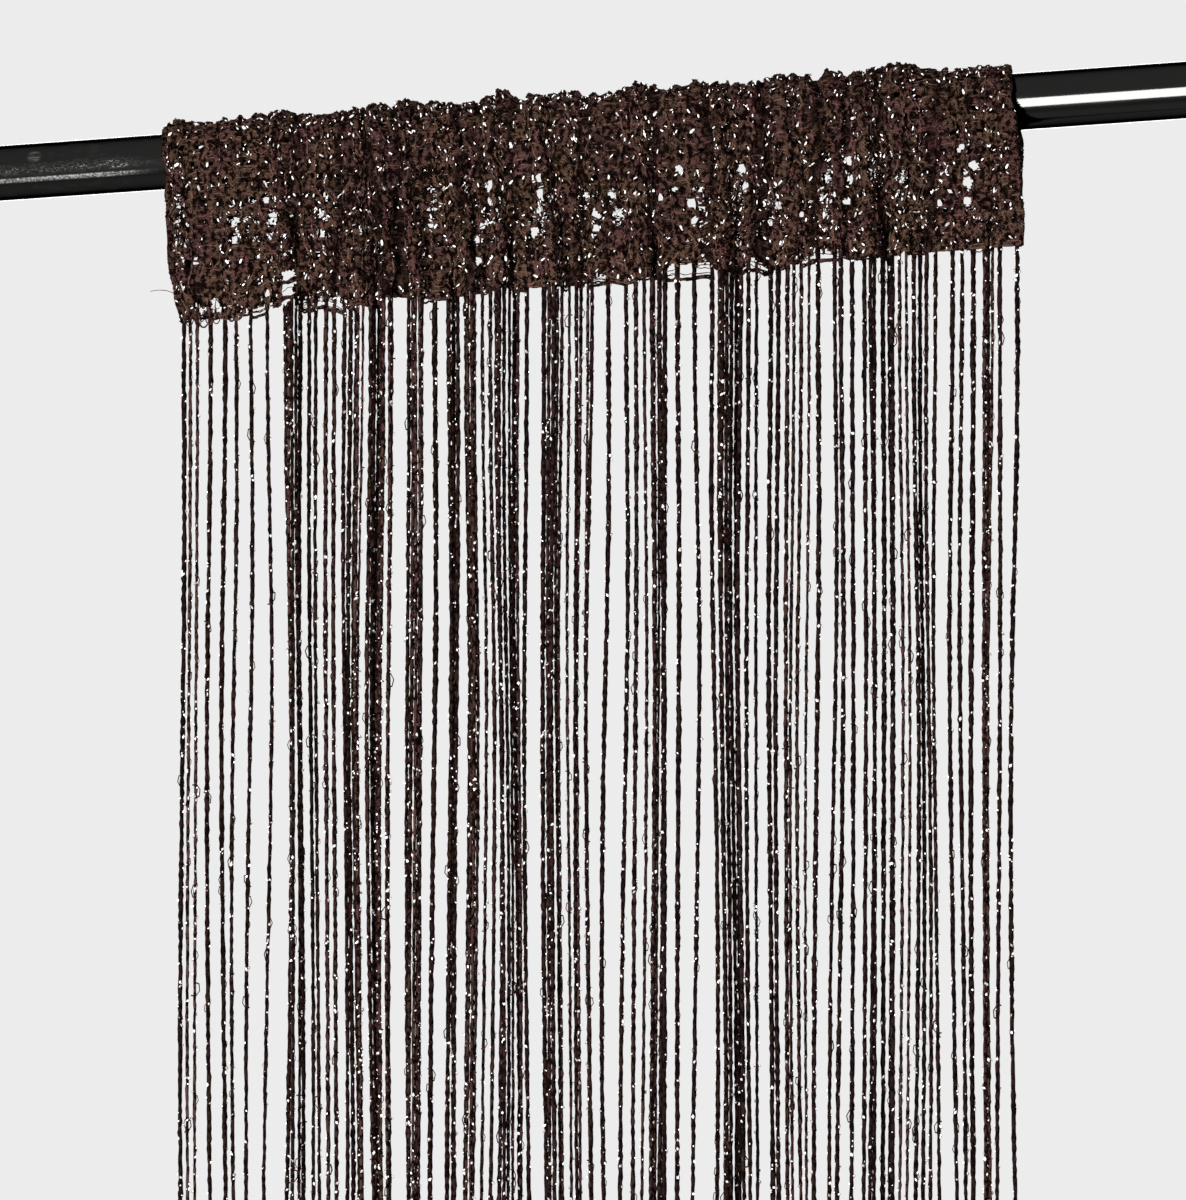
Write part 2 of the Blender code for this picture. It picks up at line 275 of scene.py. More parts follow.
# Painted reflection: a thin grey line along the rod under its middle, broken up by grit, and a band
# just under the middle that is scuffs and painted highlight at once
painted_reflection_line = line_along_rod(-6.1 * MM, 1.3 * MM, 0.5 * MM) * (0.45 + 0.65 * grit)
scuffs_and_highlight_band = line_along_rod(-1.4 * MM, 3.3 * MM, 1.2 * MM) * grit
scuffs_and_reflection = painted_reflection_line + 0.60 * scuffs_and_highlight_band * streaks.maths("MAXIMUM", streaks, 0.35)
to_mark = paint.add("ShaderNodeVectorMath", {"operation": "DISTANCE"}, {0: paint.place, 1: MARK})
mark = to_mark.other("Value").between(4.0 * MM, 1.6 * MM) * flecks
wear_and_reflection = worn_and_sheen_end * (scuffs_and_reflection + 0.05 * streaks) + 0.65 * mark
dust = paint.noise(90, (0.3, 1, 1), 4, 0.6).between(0.45, 0.8)
paint.surface(
    Base_Color=paint.blend(wear_and_reflection, BLACK, RUBBED_AND_SHEEN_GREY),
    Metallic=1.0,
    Roughness=0.10 + 0.05 * dust + 0.35 * wear_and_reflection,
    Specular_Tint=(0.35, 0.35, 0.35, 1),
)
rod.data.materials.append(paint.material)
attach(rod, "root")
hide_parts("rod")

# --- Heading ------------------------------------------------------------------------------------
# A flat tube of openwork knit that the rod runs through, pushed together into uneven folds. It is
# knitted in one piece with the strings: their chains of stitches run up its front and down its back.

CLOTH = 1.6 * MM
CELL = 1.2 * MM  # the knit's mesh
COURSE = 8.6 * MM  # from one row of holes to the next
LEFT, RIGHT = -190.5 * MM, 204 * MM
MIDDLE = (LEFT + RIGHT) / 2
EDGE_LEFT, EDGE_RIGHT = -72.5 * MM, -64.5 * MM  # the height of the lower edge at its two ends
SHALLOW = 3 * MM  # a less deep fold is a single bend
FOLD_FOOT, FOLD_APART = 2.3 * MM, 0.5 * MM  # how far from its ridge a fold starts, and from others
FOLD_SIDE, FOLD_RISE = 1.4 * MM, 0.72  # a place on its side, with this share of its depth
# Waves, each with its size and length: of the lower edge to the front and back, and of the folds
# sideways on their way up, which are shifted on the back
WAVES = ((1.9 * MM, 71 * MM), (1.0 * MM, 29 * MM))
WANDER = ((1.6 * MM, 53 * MM), (0.8 * MM, 21 * MM))
WANDER_BACK = 18 * MM
STRINGS = 112
STRING_MARGIN = 1.5 * MM
SLACK = 0.6  # of the depth: how much more knit a fold's side takes

# The folds along the lower edge: place, depth (minus to the front) and sideways lean, in mm
FOLDS = (
    (-184, -5, 1.5), (-172, 1.5, 0), (-160, -1.5, 0), (-148, 1.5, 0), (-137, -10, 3.5),
    (-128, 5, -1.5), (-119, -3.5, 0), (-111.5, 4, -1), (-104, -8, 2.5), (-95.5, 10, -3),
    (-91, -9, 3), (-77, -11, 4), (-61, 7, -2), (-53, -10, 3.5), (-45, 3, 0), (-37.5, -8, 2.5),
    (-31.5, 7, -2), (-22, -1.5, 0), (-12, -8, 2.5), (-6.5, 6, -2), (1, 7, -2), (14, -1.5, 0),
    (27, -4, 1), (35, 11, -4), (45, -1.5, 0), (56, 1.5, 0), (67, -9, 3), (73, 6, -2),
    (79.5, -4, 1), (89, 3, 0), (98, -5, 1.5), (105, 4, -1), (112, -2, 0), (121, -4, 1),
    (135, -6, 2), (142.5, 7, -2), (149.5, -6, 2), (159, 6, -2), (168, -1.5, 0), (176, -3, 1),
    (190.5, 8, -2.5), (200, -1.5, 0),
)

# One side of the heading's section, in mm and degrees: where each row of points lies (over the lower
# edge, by height or by angle round the rod), how far out, the share of a fold's depth that stands out
# and in there, how much wider the row is, its share of the wander, and its shift on front and back
Row = namedtuple("Row", "by at reach swell dent flare lean front back")
ROWS = (
    Row("hem", 0, 0.8, 1.0, 1.0, 0, 0, 0, 0),
    Row("hem", 9, 0.8, 1.0, 1.0, 0.002, 0, 0, 0),
    Row("height", -44, 4.0, 0.92, 0.06, 0.007, 0.4, 0.3, -0.5),
    Row("height", -29, 9.6, 0.80, 0.06, 0.012, 0.8, 0.7, -3.5),
    Row("height", -14, 14.6, 0.62, 0.05, 0.018, 1.0, 1, -6),
    Row("angle", 16, 15.4, 0.50, 0.04, 0.016, 0.8, -1, -8),
    Row("angle", 53, 15.2, 0.34, 0.02, 0.008, 0.4, -4.5, -8),
)
TOP = Row("angle", 90, 0, 0.10, 0, 0, 0.2, -7, -7)

# How far the lower edge rises over a straight line, and how high the top stands over the rod's axis
HEM = (
    (-190, -1.5), (-172, -0.5), (-157, -1.2), (-145, 1.5), (-123, 2.4), (-108, -1.8), (-99, -1.8),
    (-87, 1.2), (-70, -1.2), (-51, 0.8), (-6, -0.3), (8, 2.0), (22, -1.5), (38, 3.0), (59, 3.0),
    (70, -0.8), (81, 3.0), (92, -0.8), (108, 3.0), (120, 3.0), (131, -0.5), (150, 1.2), (204, 0.0),
)
CREST = (
    (-198, 14.9), (-190, 17.2), (-176, 14.8), (-140, 17.6), (-126, 14.9), (-82, 18.2), (-57, 15.6),
    (-44, 16.4), (-37, 20.4), (-29, 15.2), (-8, 17.4), (14, 15.4), (29, 18.4), (41, 14.7), (52, 18.0),
    (74, 14.9), (95, 18.4), (111, 15.8), (117, 18.6), (125, 15.4), (145, 19.6), (174, 15.0),
    (192, 14.9), (198, 16.0), (204, 18.4),
)


def bell(distance, width):
    """1 at no distance, and less than a half from width on."""
    return np.exp(-((distance / width) ** 2))


def waves(table, x):
    """The sum of a table's waves at x."""
    return sum(size * np.sin(2 * math.pi * x / width + i) for i, (size, width) in enumerate(table))


def looked_up(table, x):
    """The second column of a table in mm at x, smooth between its rows."""
    places, values = np.array(table).T * MM
    i = np.clip(np.searchsorted(places, x), 1, len(places) - 1)
    share = np.clip((x - places[i - 1]) / (places[i] - places[i - 1]), 0, 1)
    return values[i - 1] + (values[i] - values[i - 1]) * share * share * (3 - 2 * share)


def edge_height(x):
    """How high the lower edge of the knit lies at x."""
    share = (x - LEFT) / (RIGHT - LEFT)
    return EDGE_LEFT + (EDGE_RIGHT - EDGE_LEFT) * share + looked_up(HEM, x)


def fold_corners():
    """The lower edge as a row of corners: place along the rod, depth and sideways lean."""
    corners = [(LEFT, 0, 0)]
    for x, depth, lean in (tuple(v * MM for v in fold) for fold in FOLDS):
        if abs(depth) < SHALLOW:
            corners.append((x, depth, lean))
            continue
        if x - FOLD_FOOT > corners[-1][0] + FOLD_APART:
            corners.append((x - FOLD_FOOT, 0, 0))
        corners.append((x - FOLD_SIDE, depth * FOLD_RISE, lean * FOLD_RISE))
        corners.append((x, depth, lean))
        corners.append((x + FOLD_SIDE, depth * FOLD_RISE, lean * FOLD_RISE))
        corners.append((x + FOLD_FOOT, 0, 0))
    corners.append((RIGHT, 0, 0))
    return np.array(corners)


def seen_from_above(corners):
    """Where the row of corners lies along the rod and to the back."""
    return np.stack([corners[:, 0] + corners[:, 2], corners[:, 1] + waves(WAVES, corners[:, 0])], 1)


def rounded(points):
    """A row of points with its corners cut twice."""
    for _ in range(2):
        first, second = points[:-1], points[1:]
        cut = np.stack([0.75 * first + 0.25 * second, 0.25 * first + 0.75 * second], 1)
        points = np.concatenate([points[:1], cut.reshape(-1, points.shape[1]), points[-1:]])
    return points


def ramp(value, low, high):
    """0 below low and 1 above high, and smooth in between."""
    share = np.clip((value - low) / (high - low), 0, 1)
    return share * share * (3 - 2 * share)


def distances(points):
    """How far along a row of points each one lies."""
    return np.concatenate([[0], np.cumsum(np.linalg.norm(np.diff(points, axis=0), axis=1))])


def at_distances(points, where, wanted):
    """The places at wanted distances along a row of points."""
    return np.stack([np.interp(wanted, where, column) for column in points.T], 1)


corners = fold_corners()
line = seen_from_above(corners)
steps = np.linalg.norm(np.diff(line, axis=0), axis=1) + SLACK * abs(np.diff(line[:, 1]))
knit = np.concatenate([[0], np.cumsum(steps)])  # how much knit has gone by at each corner
string_knit = STRING_MARGIN + np.arange(STRINGS) * (knit[-1] - 2 * STRING_MARGIN) / (STRINGS - 1)
string_roots = at_distances(line, knit, string_knit)

soft = rounded(np.column_stack([corners, knit]))
where = distances(seen_from_above(soft))
columns = int(where[-1] / CELL)
soft = at_distances(soft, where, np.linspace(0, where[-1], columns + 1))
soft_line = seen_from_above(soft)
along_knit = np.linspace(0, where[-1], columns + 1)
chain_at = np.interp(string_knit, soft[:, 3], along_knit)  # where the strings' chains run

tangent = np.gradient(soft_line, axis=0)
tangent /= np.linalg.norm(tangent, axis=1)[:, None]
forward = np.column_stack([tangent[:, 1], -tangent[:, 0]])


def placed(row, side, line, outward, edge):
    """One row of the knit's face, on the front (side -1) or the back (side 1)."""
    shown = np.where(outward > 0, row.swell, row.dent)
    x = line[:, 0] - soft[:, 2] * (1 - shown)
    lean = row.lean * waves(WANDER, x + (WANDER_BACK if side > 0 else 0))
    x = MIDDLE + (x - MIDDLE) * (1 + row.flare) + (row.front if side < 0 else row.back) * MM + lean
    reach = row.reach * MM + outward * shown
    if row.by == "hem":
        return np.column_stack([x, side * reach, edge + row.at * MM])
    if row.by == "height":
        return np.column_stack([x, side * reach, np.full(len(x), row.at * MM)])
    if row is TOP:
        return np.column_stack([x, 0 * x, looked_up(CREST, x) + reach])
    angle = math.radians(row.at)
    return np.column_stack([x, side * reach * math.cos(angle), reach * math.sin(angle)])


def threaded(rows, spacing):
    """A smooth surface through rows of points, with new rows about spacing apart."""
    rows = np.stack(rows, 1)
    ends = 2 * rows[:, :1] - rows[:, 1:2], 2 * rows[:, -1:] - rows[:, -2:-1]
    rows = np.concatenate([ends[0], rows, ends[1]], 1)
    spans = []
    for i in range(1, rows.shape[1] - 2):
        a, b, c, d = (rows[:, i + k] for k in (-1, 0, 1, 2))
        count = max(2, round(float(np.median(np.linalg.norm(c - b, axis=1))) / spacing))
        slope, bend, twist = c - a, 2 * a - 5 * b + 4 * c - d, 3 * b - a - 3 * c + d
        for t in np.arange(count) / count:
            spans.append(0.5 * (2 * b + slope * t + bend * t**2 + twist * t**3))
    spans.append(rows[:, -2])
    return np.stack(spans, 1)


front, back = soft_line + forward * CLOTH / 2, soft_line - forward * CLOTH / 2
out_front, out_back = -front[:, 1] - CLOTH / 2, back[:, 1] - CLOTH / 2
edge = edge_height((front[:, 0] + back[:, 0]) / 2)
out_top = np.maximum(out_front, 0) + np.maximum(out_back, 0)
rows = [placed(row, -1, front, out_front, edge) for row in ROWS]
rows.append(placed(TOP, -1, (front + back) / 2, out_top, edge))
rows += [placed(row, 1, back, out_back, edge) for row in reversed(ROWS)]
# The knit's points: along it from left to right, and from the front hem over the rod to the back hem
face = threaded(rows, CELL)
over = distances(face.mean(0) * (0, 1, 1))  # the way round the loop
loop = over[-1]
u_of, v_of = along_knit[:, None], over[None, :]
from_hem = np.minimum(v_of, loop - v_of)
from_end = np.minimum(u_of, along_knit[-1] - u_of)
from_crest = v_of - loop / 2

# The knit is crumpled: its chains and folds wander sideways on their way up. The waves' size, height
# and width are in mm
CRUMPLES = ((1.1, 27, 61), (0.7, 15, -37), (0.35, 8.5, 19))
crumple = sum(
    size * MM * np.sin(2 * math.pi * (v_of / height + u_of / width) / MM + i)
    for i, (size, height, width) in enumerate(CRUMPLES)
)
face[:, :, 0] += crumple * ramp(from_hem, 0, 14 * MM) * (0.3 + 0.7 * ramp(from_end, 0, 12 * MM))

# How far the knit's two ends stand out beyond that, by height, in mm
LEFT_END = ((-74, 0.4), (-61, 2.6), (-50, 3.8), (-38, 4.0), (-30, 2.8), (-21, 1.2), (-8, 0))
RIGHT_FRONT = ((-68, 1.6), (-40, 1.6), (-15, 0.8), (-3, -0.6), (5, 0.6), (13, 3.4))
RIGHT_BACK = ((-68, 1.6), (-58, 0.6), (-40, -0.8), (5, -0.8), (13, 3.4))
x_of, z_of = face[:, :, 0].copy(), face[:, :, 2]
right_end = np.where(from_crest < 0, looked_up(RIGHT_FRONT, z_of), looked_up(RIGHT_BACK, z_of))
face[:, :, 0] -= looked_up(LEFT_END, z_of) * ramp(-x_of, 166 * MM, 193 * MM)
face[:, :, 0] += right_end * ramp(x_of, 184 * MM, 204 * MM)

out = np.cross(np.gradient(face, axis=0), np.gradient(face, axis=1))
out /= np.maximum(np.linalg.norm(out, axis=2), 1e-9)[:, :, None]
LOW_ROW = 3  # a row of points just over the front hem, where the outside looks to the front
out *= -np.sign(out[:, LOW_ROW, 1].mean())

chance = np.random.default_rng(5)


def turns(u_length, v_length=math.inf):
    """How far round a wave is that repeats at these lengths along the knit and up it, in mm."""
    return 2 * math.pi * (u_of / u_length + v_of / v_length) / MM


# Small gathers run up the knit between the folds, most of all in its middle part and in patches. They
# sway on their way up
x_of = face[:, :, 0]
middle_part = ramp(x_of, -150 * MM, -110 * MM) * (1 - ramp(x_of, 125 * MM, 170 * MM))
gathered = 0.30 + 0.70 * middle_part
sway = 1.3 * np.sin(turns(69.8132, 63)) + 0.9 * np.sin(turns(math.inf, 27) + 2)
gathers = (
    np.sin(turns(9.2) + sway)
    + 0.6 * np.sin(turns(5.3) + 1.7 * sway + 1)
    + 0.5 * np.sin(turns(12.7, 21) - sway)
)
patches = 0.6 + 0.4 * np.sin(turns(47, 90)) * np.sin(turns(31, -55) + 1)

# Grooves, thin places and openings have their places in mm on the plane of the rod's axis, and lie
# before or behind it on a slant: to the right and down, for each step to the front
SLANT = 0.358, -0.170


def seen_through(point):
    """Where on the plane of the rod's axis a place lies, along the slant."""
    return point[..., 0] + SLANT[0] * point[..., 1], point[..., 2] + SLANT[1] * point[..., 1]


# Deep grooves beside the folds, in mm: their place 30 mm under the rod's axis, their width and depth,
# and how far they lean to the right in 40 mm on their way up
Groove = namedtuple("Groove", "x width depth lean")
GROOVES = [Groove(*row) for row in (
    (-134.5, 4.5, 1.2, 1), (-114.5, 4.0, 1.6, 2), (-96.5, 4.0, 1.7, -5), (-85.5, 4.0, 1.7, -2),
    (-55.5, 4.5, 1.4, -4), (-45.5, 3.0, 1.2, -3), (-32.5, 3.0, 1.2, 0), (-0.5, 4.0, 1.6, 2),
    (11.5, 3.0, 0.8, -1), (33.5, 5.0, 1.5, 0), (60.5, 4.0, 1.5, 0), (85.5, 5.0, 2.0, 0),
    (110, 4.5, 1.8, 1), (124, 3.0, 1.2, 0), (139.5, 4.0, 1.6, -2), (163.5, 4.0, 1.4, 1),
    (173.5, 3.0, 0.8, 0), (193, 3.0, 0.6, 0),
)]
plane_x, plane_z = seen_through(face)
# groove holds how much painted shade each groove puts on the yarn, groove_depth how deep it is
groove, groove_depth = 0 * plane_x, 0 * plane_x
for g in GROOVES:
    wander = 1.2 * np.sin(plane_z / (9 * MM) + g.x) + 0.7 * np.sin(plane_z / (3.7 * MM) + 2 * g.x)
    line_x = (g.x + g.lean * (plane_z / MM + 30) / 40 + wander) * MM
    here = bell(plane_x - line_x, g.width / 2 * MM)
    groove = np.maximum(groove, here * g.depth / 1.8)
    groove_depth = np.maximum(groove_depth, here * g.depth * MM)

# How far the knit stands out from that: gathers, ridges between the courses, lumps along the crest
# and ridges under the chains, less the grooves
gather_at = gathers * gathered * patches
lift = 0.60 * MM * gather_at * (0.35 + 0.65 * ramp(from_hem, 0, 20 * MM))
lift = lift + 0.30 * MM * (1.25 - gathered) * np.cos(2 * math.pi * v_of / COURSE)
lumps = np.sin(turns(10.1) + 1.9 * np.sin(turns(37)))
lift = lift + 1.4 * MM * np.maximum(lumps, 0) * bell(from_crest, 6 * MM)
nearest_chain = np.abs(along_knit[:, None] - chain_at[None, :]).min(1)
lift = lift + 0.30 * MM * bell(nearest_chain, 1.1 * MM)[:, None]
lift = np.maximum(lift - 0.8 * groove_depth, -1.5 * MM)
relief = face + out * lift[:, :, None]

# Painted shade, which each point carries as its shade: the yarn is painted dark in the grooves and
# hollows, along the crest and at the two ends, where shade falls, and a little lighter along the hem
shade = np.clip(ramp(lift, -1.3 * MM, 0.9 * MM) * 1.45, 0, 1) * (1 - 0.85 * groove)
shade = shade * (1 - 0.6 * ramp(-gather_at, 0.1, 0.9) * ramp(from_hem, 22 * MM, 50 * MM))
shade = np.clip(0.19 + shade, 0, 1) * (1 - 0.42 * bell(from_crest, 6.5 * MM))
shade = shade * (0.45 + 0.55 * ramp(from_end, 0, 2.5 * MM))
shade = shade * (1.25 - 0.25 * ramp(from_hem, 12 * MM, 24 * MM))

# Places where the knit is thin, and openings in it, in mm: their middle, and how far they reach from
# there (thin places) or how large they are across (openings). Both go through front and back
Spot = namedtuple("Spot", "x z width height")
THIN = [Spot(*row) for row in (
    (-191, -30, 3.0, 20), (-161, -30, 6, 14), (-147, -28, 5, 11), (-123, -31, 4, 19),
    (-103, -40, 5, 11), (-70, -32, 3, 18), (-52, -20, 4, 8), (-41, -30, 6, 19),
    (-18, -34, 7, 20), (4, -31, 6, 12), (18, -37, 7, 16), (55, -34, 5, 19), (75, -32, 4, 15),
    (90, -38, 6, 11), (115, -34, 5, 18), (137, -28, 4, 10), (150, -34, 4, 12),
    (-177, -68, 13, 4), (-120, -68, 13, 3),
)]
OPENINGS = [Spot(*row) for row in (
    (180, -34.5, 5.4, 3.5), (179.6, -42.7, 3.7, 4.6), (181.9, -26.8, 4.3, 3.8),
    (177.4, -18.6, 3.5, 3.2), (167.3, -42.8, 3.5, 2.9), (125.2, -21.4, 3.1, 4.4),
    (125.9, -29.7, 2.7, 4.2), (124.3, -39.5, 3.9, 3.0), (110.8, -60.9, 5.5, 2.9),
    (103.3, -43.7, 2.9, 3.4), (75.6, -21.5, 4.3, 4.0), (77.2, -29.4, 3.3, 4.4),
    (52.1, -35.3, 4.7, 4.8), (53.2, -43.7, 3.1, 4.6), (44.2, -28.8, 3.3, 2.8),
    (46.6, -20.0, 3.3, 4.0), (37.6, -31.9, 3.3, 4.0), (14.1, -28.8, 2.9, 3.2),
    (7.4, -43.9, 3.9, 3.8), (6.5, -37.0, 3.3, 3.8), (-19.3, -34.1, 3.3, 3.6),
    (-21.4, -43.6, 3.7, 4.0), (-19.3, -26.8, 3.3, 4.0), (-19.8, -19.4, 3.3, 4.0),
    (-43.3, -21.4, 4.1, 3.8), (-42.8, -29.7, 3.3, 3.4), (-46.5, -39.0, 3.3, 3.2),
    (-48.9, -45.8, 2.9, 4.0), (-47.9, -54.8, 3.3, 3.4), (-140.2, -46.3, 2.9, 3.6),
    (-149.3, -20.8, 3.5, 3.4), (-148.7, -63.5, 3.3, 3.2), (-183, -46.6, 2.5, 3.6),
)]
BACK_SPARE = 1.3  # mm that an opening is wider all round on the back


def thinness(point):
    """How thin the knit is at a place, from 0 to 1."""
    x, z = seen_through(point)
    most = 0 * x
    for spot in THIN:
        here = bell(x / MM - spot.x, spot.width) * bell(z / MM - spot.z, spot.height)
        most = np.maximum(most, here)
    return most


def opened(point, spare=0.0):
    """Whether a place lies in an opening that is wider by spare mm all round."""
    x, z = seen_through(point)
    inside = np.zeros(x.shape, bool)
    for o in OPENINGS:
        across, up = (x / MM - o.x) / (o.width / 2 + spare), (z / MM - o.z) / (o.height / 2 + spare)
        inside |= across**2 + up**2 < 1
    return inside


# The holes: one between each two chains in every course, larger where the knit is thin. Near its two
# ends it isn't gathered and lies flat, so its holes stand open in rows
gaps = (chain_at[1:] + chain_at[:-1]) / 2
gap_widths = np.diff(chain_at)
courses = np.arange(0.5, loop / COURSE) * COURSE
hole_u = gaps[:, None] + chance.normal(0, 0.5 * MM, (len(gaps), len(courses)))
hole_v = courses[None, :] + chance.normal(0, 0.6 * MM, hole_u.shape)
hole_i = np.clip(np.round(hole_u / along_knit[1]).astype(int), 0, columns)
hole_j = np.clip(np.searchsorted(over, hole_v), 0, len(over) - 1)
thin = thinness(face[hole_i, hole_j])
lying_flat = 1 - gathered
size = chance.uniform(0.45, 1.1, hole_u.shape) * (0.8 + 1.2 * thin)
size = size * (1 + 0.9 * lying_flat[hole_i, hole_j])
half_u = np.minimum(1.0 * MM * size, 0.45 * gap_widths[:, None])
half_v = 1.2 * MM * size * chance.uniform(0.8, 1.2, hole_u.shape)

middle_u = (along_knit[1:] + along_knit[:-1]) / 2
middle_v = (over[1:] + over[:-1]) / 2
kept = np.ones((len(middle_u), len(middle_v)), bool)
for i in range(len(gaps)):
    near = np.abs(middle_u - gaps[i]) < 6 * MM
    for j in range(len(courses)):
        off_u = (middle_u[near, None] - hole_u[i, j]) / half_u[i, j]
        off_v = (middle_v[None, :] - hole_v[i, j]) / half_v[i, j]
        kept[near] &= off_u**2 + off_v**2 > 1
    # Painted shade: the yarn is painted darker round a hole where the knit lies flat
    beside = np.abs(along_knit - gaps[i]) < 5 * MM
    off_u = (along_knit[beside, None, None] - hole_u[i]) / (1.7 * MM)
    off_v = (over[None, :, None] - hole_v[i]) / (1.5 * MM)
    hole_shade = np.exp(-(off_u**2 + off_v**2).min(2))
    shade[beside] *= 1 - 0.8 * lying_flat[beside] * hole_shade

# The ladder near the left end, where stitches have come loose: its place and width on the same plane
LADDER_X, LADDER_WIDTH, LADDER_TOP = -138.4 * MM, 6.8 * MM, -53.5 * MM


def in_ladder(point):
    """Whether a place lies in the ladder."""
    x, z = seen_through(point)
    return (abs(x - LADDER_X) < LADDER_WIDTH / 2) & (z < LADDER_TOP)


WORN_FRONT, WORN_BACK = 1.16, 0.61  # how thin the knit gets before a stitch is gone
middle = (face[1:, 1:] + face[:-1, :-1]) / 2
behind = middle_v[None, :] > loop / 2
worn = thinness(middle) + 0.33 * chance.normal(0, 1, middle.shape[:2])
kept &= ~(worn > np.where(behind, WORN_BACK, WORN_FRONT))
kept &= ~(in_ladder(middle) | opened(middle, BACK_SPARE * behind))

# Where the hem is frayed its last stitches are gone, and its lowest yarns hang in loops. In mm: from
# and to where, how far over the lower edge the knit is gone and how far under it the loops hang
Frayed = namedtuple("Frayed", "first last gone hang")
FRAYED = [Frayed(*row) for row in (
    (-158, -146, 2.5, 1.5), (-132, -112, 2.5, 2.5), (3, 12, 2.5, 2.3),
    (38, 62, 2.2, 4.6), (76, 85, 2.5, 2.8), (102, 124, 2.5, 2.3),
)]


def frayed_by(x):
    """How much of the hem is gone at x."""
    gone = 0 * x
    for f in FRAYED:
        gone = np.maximum(gone, f.gone * MM * ((x > f.first * MM) & (x < f.last * MM)))
    return gone


ragged = 0.7 * MM * chance.normal(0, 1, middle.shape[:2])
kept &= middle[:, :, 2] > edge_height(middle[:, :, 0]) + frayed_by(middle[:, :, 0]) + ragged

# The cloth's own surface lies a little inside its yarns, and is rough
SKIN_DEPTH, ROUGH_OUT, ROUGH_ASIDE = 0.15 * MM, 0.14 * MM, 0.15 * MM
skin = relief - out * SKIN_DEPTH
skin = skin + out * chance.normal(0, ROUGH_OUT, skin.shape[:2])[:, :, None]
skin[1:-1] += chance.normal(0, ROUGH_ASIDE, skin[1:-1].shape)


def grid_object(name, points, kept, shade):
    """A mesh of the kept cells of a grid of points, with how light each point is."""
    n_u, n_v = points.shape[:2]
    number = np.arange(n_u * n_v).reshape(n_u, n_v)
    quads = np.stack([number[:-1, :-1], number[1:, :-1], number[1:, 1:], number[:-1, 1:]], -1)[kept]
    used, quads = np.unique(quads, return_inverse=True)
    quads = quads.reshape(-1, 4)
    made = mesh_object(name, points.reshape(-1, 3)[used], quads.tolist())
    values = np.float32(shade.reshape(-1)[used])
    made.data.attributes.new("shade", "FLOAT", "POINT").data.foreach_set("value", values)
    return made


def yarn_look(name, dark_and_shaded, first, second, third):
    """Soft yarn in three drifting tints, painted near black between its fibres and in painted shade.
    """
    look = Finish(name)
    grain = look.noise(450, (1, 1, 0.85), 4, 0.62)
    red = look.noise(110, (1, 1, 0.6), 2, 0.5).between(0.42, 0.62)
    olive = look.noise(85, (1, 1, 0.7), 1, 0.5, (3, 1, 2)).between(0.45, 0.62)
    lit = look.blend(olive, look.blend(red, (*first, 1), (*second, 1)), (*third, 1))
    # Each point's shade is painted shade, which draws the yarn towards its darkest colour
    given = look.add("ShaderNodeAttribute", {"attribute_name": "shade"}).other("Fac")
    look.surface(
        Base_Color=look.blend(grain.between(0.44, 0.57) * given, (*dark_and_shaded, 1), lit),
        Roughness=0.7 + 0.25 * grain,
        Normal=look.bump(grain, 0.6 * MM),
        Specular_IOR_Level=0.02,
    )
    return look.material


KNIT_DARK_AND_SHADED = (0.0018, 0.0005, 0.0003)
KNIT_TINTS = (0.071, 0.0385, 0.0295), (0.072, 0.0330, 0.0295), (0.072, 0.0410, 0.0275)
# Painted shade: the knit's own surface, under its yarns, is painted darker, at this share of their
# lightness
SKIN_SHARE = 0.45  # of the light that its yarns get
knit_look = yarn_look("brown_knit", KNIT_DARK_AND_SHADED, *KNIT_TINTS)
heading = grid_object("heading_knit", skin, kept, SKIN_SHARE * shade)
heading.data.polygons.foreach_set("use_smooth", [True] * len(heading.data.polygons))
heading.data.materials.append(knit_look)
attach(heading, "root")
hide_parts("heading")


# --- Yarn of the heading ------------------------------------------------------------------------
# Chains of stitches stand out along the knit, one for each string, and inlaid yarns run across them
# from chain to chain. Both are the same soft brown yarn.


def new_tree(name, sockets):
    """A geometry node tree with named inputs, and its input and output."""
    tree = bpy.data.node_groups.new(name, "GeometryNodeTree")
    tree.interface.new_socket("Geometry", in_out="OUTPUT", socket_type="NodeSocketGeometry")
    tree.interface.new_socket("Geometry", in_out="INPUT", socket_type="NodeSocketGeometry")
    for label, kind, value in sockets:
        made = tree.interface.new_socket(label, in_out="INPUT", socket_type="NodeSocket" + kind)
        if value is not None:
            made.default_value = value
    nodes = Nodes(tree)
    return nodes, nodes.add("NodeGroupInput")


def finish_tree(nodes, geometry, given):
    """The last steps of each tree: real geometry with its material."""
    real = nodes.add("GeometryNodeRealizeInstances", None, {0: geometry})
    inputs = {"Geometry": real, "Material": given.other("Material")}
    nodes.add("NodeGroupOutput", None, {0: nodes.add("GeometryNodeSetMaterial", None, inputs)})
    return nodes.tree


def random_vector(nodes, given, low, high):
    """Three numbers for each point, drawn between two sets of limits."""
    inputs = {0: low, 1: high, "Seed": given.other("Seed")}
    return nodes.add("FunctionNodeRandomValue", {"data_type": "FLOAT_VECTOR"}, inputs)


def carried(nodes, name):
    """A number that each point carries."""
    setting = {"data_type": "FLOAT"}
    return nodes.add("GeometryNodeInputNamedAttribute", setting, {"Name": name})


